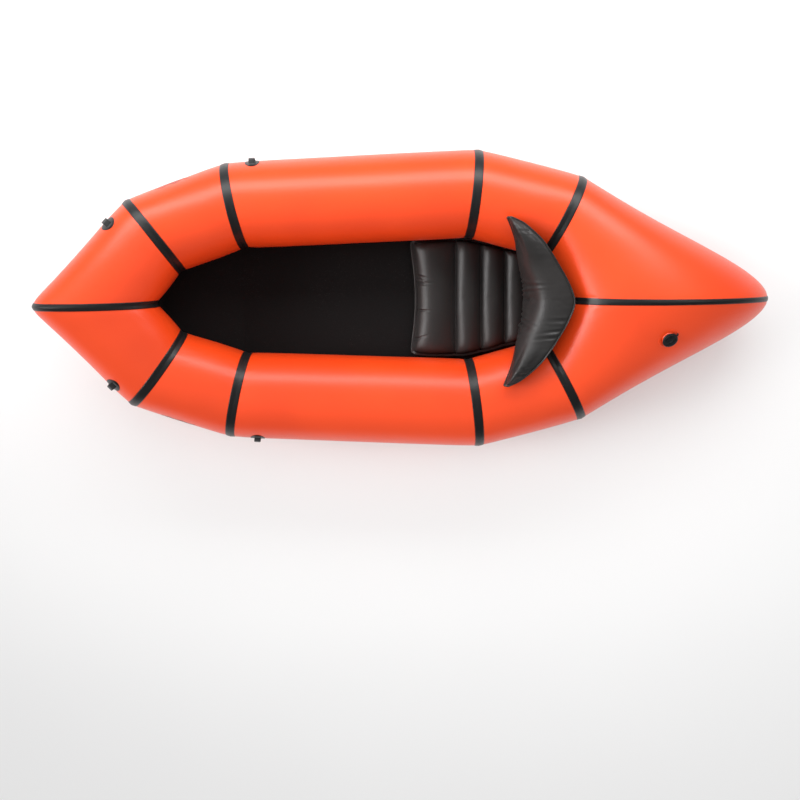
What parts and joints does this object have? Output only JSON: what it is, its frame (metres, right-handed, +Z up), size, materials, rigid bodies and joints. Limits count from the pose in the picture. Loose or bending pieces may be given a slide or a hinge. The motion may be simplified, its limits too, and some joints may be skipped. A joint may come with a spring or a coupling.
{
  "type": "inflatable packraft kayak",
  "caption": "Open inflatable packraft with a raised bow and stern, taped fabric tubes, a sheet floor, a chambered seat, a crescent backrest and a screw-in air valve.",
  "frame": {"origin": "on the ground under the middle of the boat's bounding box", "axes": "+X towards the bow, +Y towards port, +Z up"},
  "size_m": [2.4, 1.0184, 0.434],
  "materials": {
    "hull_fabric": "orange urethane-coated fabric, satin",
    "seam_tape": "black coated tape, satin",
    "floor_fabric": "black coated fabric, matt",
    "cushion_fabric": "dark grey coated fabric, satin",
    "webbing": "black woven webbing",
    "flange_fabric": "orange moulded urethane, satin",
    "valve_plastic": "black moulded plastic",
    "valve_rubber": "black soft rubber",
    "bar_plastic": "black moulded plastic"
  },
  "bodies": {
    "hull": {"bow_centre_tape": "seam_tape", "bow_lash_loop_port": "webbing", "bow_lash_loop_starboard": "webbing", "bow_lash_patch_port": "seam_tape", "bow_lash_patch_starboard": "seam_tape", "bow_panel_port": "hull_fabric", "bow_panel_starboard": "hull_fabric", "bow_shoulder_tape_port": "seam_tape", "bow_shoulder_tape_starboard": "seam_tape", "floor_bow": "floor_fabric", "floor_centre": "floor_fabric", "floor_front": "floor_fabric", "floor_stern": "floor_fabric", "quarter_panel_port": "hull_fabric", "quarter_panel_starboard": "hull_fabric", "quarter_stern_tape_port": "seam_tape", "quarter_stern_tape_starboard": "seam_tape", "seat_cushion": "cushion_fabric", "seat_loop_port": "webbing", "seat_loop_starboard": "webbing", "seat_valve_stem": "valve_plastic", "backrest_bar": "bar_plastic", "shoulder_panel_port": "hull_fabric", "shoulder_panel_starboard": "hull_fabric", "shoulder_side_tape_port": "seam_tape", "shoulder_side_tape_starboard": "seam_tape", "side_lash_loop_port": "webbing", "side_lash_loop_starboard": "webbing", "side_lash_patch_port": "seam_tape", "side_lash_patch_starboard": "seam_tape", "side_panel_port": "hull_fabric", "side_panel_starboard": "hull_fabric", "side_quarter_tape_port": "seam_tape", "side_quarter_tape_starboard": "seam_tape", "stern_centre_tape": "seam_tape", "stern_panel_port": "hull_fabric", "stern_panel_starboard": "hull_fabric", "valve_flange": "flange_fabric"},
    "backrest": {"backrest_cushion": "cushion_fabric", "backrest_strap_port": "webbing", "backrest_strap_starboard": "webbing", "backrest_valve_stem": "valve_plastic"},
    "backrest_valve": {"backrest_valve_tube": "valve_plastic"},
    "seat_valve": {"seat_valve_tube": "valve_plastic"},
    "insert_seal": {"valve_insert_seal": "valve_rubber"},
    "insert": {"valve_insert": "valve_plastic", "valve_leash": "valve_rubber"},
    "flap": {"valve_flap": "valve_rubber"},
    "cap_seal": {"valve_cap_seal": "valve_rubber"},
    "cap": {"valve_cap": "valve_plastic"}
  },
  "joints": [
    {"name": "backrest_tilt", "type": "hinge", "parent": "hull", "child": "backrest", "pos_m": [-0.42, 0, 0.093], "axis": [0, 1, 0], "range_deg": [0, 14]},
    {"name": "backrest_valve_pull", "type": "slide", "parent": "backrest", "child": "backrest_valve", "axis": [-0.7866, 0.1997, -0.5843], "range_m": [0, 0.005]},
    {"name": "seat_valve_pull", "type": "slide", "parent": "hull", "child": "seat_valve", "axis": [0, 0, 1], "range_m": [0, 0.005]},
    {"name": "insert_rise", "type": "slide", "parent": "hull", "child": "insert_seal", "axis": [-0.1361, 0.4328, 0.8911], "range_m": [0, 0.0052]},
    {"name": "insert_turn", "type": "hinge", "parent": "insert_seal", "child": "insert", "pos_m": [-0.8105, 0.1166, 0.3482], "axis": [-0.1361, 0.4328, 0.8911], "range_deg": [0, 720]},
    {"name": "flap_lift", "type": "slide", "parent": "insert", "child": "flap", "axis": [0.1361, -0.4328, -0.8911], "range_m": [0, 0.0022], "stiffness_N_per_m": 200},
    {"name": "cap_rise", "type": "slide", "parent": "insert", "child": "cap_seal", "axis": [-0.1361, 0.4328, 0.8911], "range_m": [0, 0.0032]},
    {"name": "cap_turn", "type": "hinge", "parent": "cap_seal", "child": "cap", "pos_m": [-0.8105, 0.1166, 0.3482], "axis": [-0.1361, 0.4328, 0.8911], "range_deg": [0, 540]}
  ],
  "couplings": [
    {"joint": "insert_rise", "follows": "insert_turn", "m_per_rad": 0.00039789},
    {"joint": "cap_rise", "follows": "cap_turn", "m_per_rad": 0.00031831}
  ]
}
